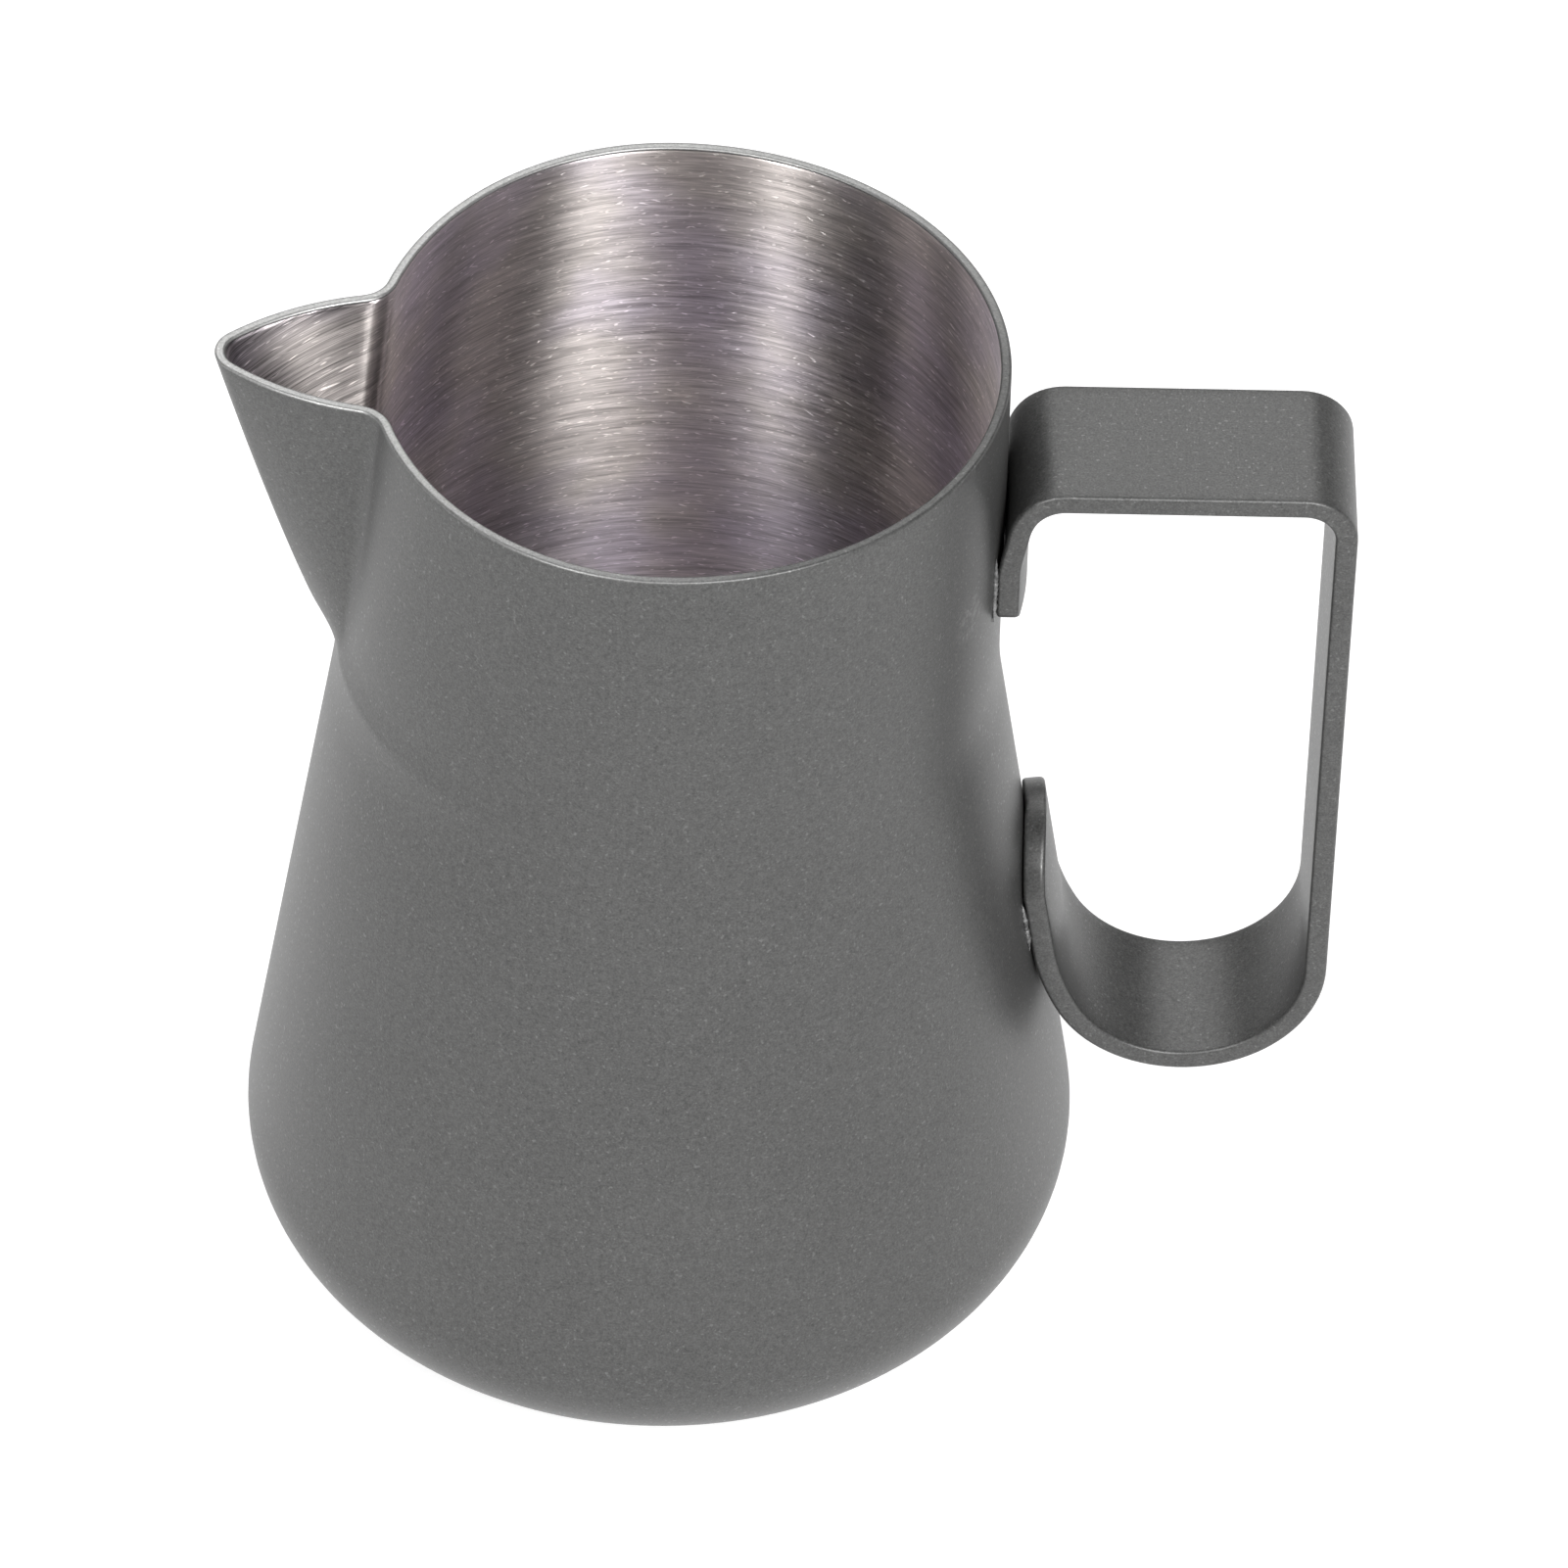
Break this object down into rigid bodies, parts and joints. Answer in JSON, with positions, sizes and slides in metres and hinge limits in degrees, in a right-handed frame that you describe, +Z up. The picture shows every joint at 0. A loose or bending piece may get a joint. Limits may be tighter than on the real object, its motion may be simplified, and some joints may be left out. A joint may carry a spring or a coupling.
{
  "type": "milk frothing pitcher",
  "caption": "Pear-shaped steel milk frothing pitcher with a pressed pouring spout, matt grey coated outside, bare brushed inside, and a bent flat-strip handle with a closed loop.",
  "frame": {"origin": "on the vessel's axis, at the plane that the pitcher stands on", "axes": "+Z up along the vessel's axis; +X towards the handle, so the spout points along -X; Y across the handle strip's width"},
  "size_m": [0.1214, 0.092, 0.1246],
  "materials": {
    "bare_steel": "bare stainless steel, brushed round the axis",
    "grey_coating": "matt dark grey coating with a fine metallic grain",
    "handle_coating": "matt dark grey coating with a fine metallic grain",
    "weld_metal": "fused steel, under the coating"
  },
  "bodies": {
    "root": {"shell": "bare_steel", "outer_coating": "grey_coating", "handle": "handle_coating", "upper_weld_spots": "weld_metal", "lower_weld_spots": "weld_metal"}
  },
  "joints": []
}
